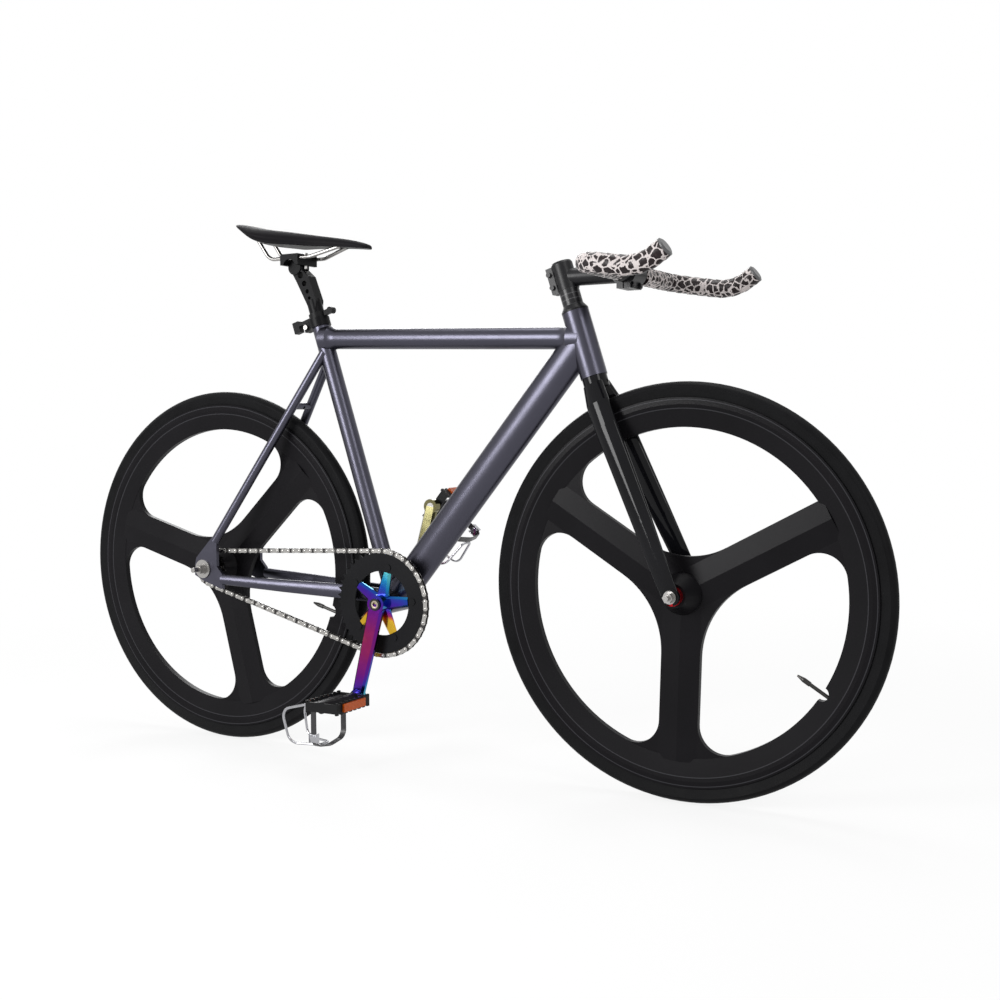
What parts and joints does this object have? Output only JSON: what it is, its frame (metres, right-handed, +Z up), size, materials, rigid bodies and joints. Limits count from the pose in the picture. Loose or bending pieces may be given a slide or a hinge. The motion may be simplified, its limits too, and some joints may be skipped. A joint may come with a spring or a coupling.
{
  "type": "fixed gear bicycle",
  "caption": "Fixed gear track bicycle with welded diamond frame, bladed fork, three-spoke composite wheels, bullhorn bars and chain drive, for riding and display.",
  "frame": {"origin": "on the ground, midway between the two wheel axles, in the middle plane", "axes": "+X forward, +Y to the rider's left, +Z up"},
  "size_m": [1.6159, 0.4304, 0.9852],
  "materials": {
    "frame_paint": "satin metallic grey paint on alloy tubes",
    "fork_gloss": "gloss black lacquer on carbon composite",
    "wheel_composite": "matt black moulded composite",
    "tyre": "slick black rubber",
    "black_alloy": "matt black anodised",
    "red_alloy": "red anodised",
    "oil_slick": "polished, rainbow anodised",
    "steel": "plain bright steel",
    "chrome": "chrome plated",
    "bar_tape": "spotted animal-print wrap",
    "saddle_leather": "smooth black cover on foam",
    "strap_leather": "black strap",
    "black_plastic": "matt black",
    "grey_plastic": "matt grey",
    "amber_reflector": "clear amber lens"
  },
  "bodies": {
    "frame": {"frame": "frame_paint", "headset_bearings": "steel", "bottom_bracket": "black_alloy", "seat_clamp": "black_alloy", "seat_clamp_bolt": "steel", "chain_inner_links": "steel", "chain_outer_links": "steel", "rear_axle": "steel", "rear_axle_nuts": "steel", "rear_washers": "steel", "rear_locknuts": "black_alloy"},
    "seatpost": {"seatpost": "black_alloy", "saddle_cradle": "black_alloy", "saddle_rail_cap": "black_alloy", "saddle_clamp_bolts": "steel", "saddle_rails": "steel", "saddle_shell": "black_plastic", "saddle_cover": "saddle_leather", "reflector_bracket": "black_plastic"},
    "fork": {"fork": "fork_gloss", "headset_cover": "black_alloy", "headset_spacers": "black_alloy", "stem": "black_alloy", "stem_top_cap": "black_alloy", "stem_bolts": "steel", "stem_faceplate": "black_alloy", "faceplate_bolts": "steel", "handlebar": "black_alloy", "bar_tape": "bar_tape", "bar_end_plugs": "grey_plastic", "front_axle": "steel", "front_axle_nuts": "steel", "front_locknuts": "red_alloy"},
    "front_wheel": {"front_wheel": "wheel_composite", "front_tyre": "tyre", "front_hub_bearings": "steel", "front_valve": "steel"},
    "rear_wheel": {"rear_wheel": "wheel_composite", "rear_tyre": "tyre", "rear_hub_bearings": "steel", "rear_valve": "steel", "rear_cog": "steel", "cog_bolts": "steel"},
    "crankset": {"crank_spindle": "steel", "right_crank": "oil_slick", "left_crank": "oil_slick", "chainring": "black_alloy", "chainring_bolts": "black_alloy", "crank_bolts": "black_alloy", "pedal_axles": "steel"},
    "right_pedal": {"right_pedal": "black_plastic", "right_pedal_reflectors": "amber_reflector", "right_toe_clip": "chrome", "right_toe_strap": "strap_leather", "right_strap_buckle": "chrome"},
    "left_pedal": {"left_pedal": "black_plastic", "left_pedal_reflectors": "amber_reflector", "left_toe_clip": "chrome", "left_toe_strap": "strap_leather", "left_strap_buckle": "chrome"}
  },
  "joints": [
    {"name": "steering", "type": "hinge", "parent": "frame", "child": "fork", "pos_m": [0.31664, 0, 0.68223], "axis": [-0.3024, 0, 0.9532], "range_deg": [-90, 90]},
    {"name": "front_wheel_spin", "type": "hinge", "parent": "fork", "child": "front_wheel", "pos_m": [0.472, 0, 0.336], "axis": [0, 1, 0], "continuous": true},
    {"name": "rear_wheel_spin", "type": "hinge", "parent": "frame", "child": "rear_wheel", "pos_m": [-0.472, 0, 0.336], "axis": [0, 1, 0], "continuous": true, "deforming": ["chain_inner_links", "chain_outer_links"]},
    {"name": "crank_spin", "type": "hinge", "parent": "frame", "child": "crankset", "pos_m": [-0.07913, 0, 0.2915], "axis": [0, 1, 0], "continuous": true},
    {"name": "right_pedal_spin", "type": "hinge", "parent": "crankset", "child": "right_pedal", "pos_m": [-0.11593, -0.0798, 0.12553], "axis": [0, 1, 0], "continuous": true},
    {"name": "left_pedal_spin", "type": "hinge", "parent": "crankset", "child": "left_pedal", "pos_m": [-0.04234, 0.0798, 0.45747], "axis": [0, 1, 0], "continuous": true},
    {"name": "seatpost_slide", "type": "slide", "parent": "frame", "child": "seatpost", "axis": [-0.3024, 0, 0.9532], "range_m": [0, 0.05]}
  ],
  "couplings": [
    {"joint": "crank_spin", "follows": "rear_wheel_spin", "ratio": 0.34783}
  ]
}
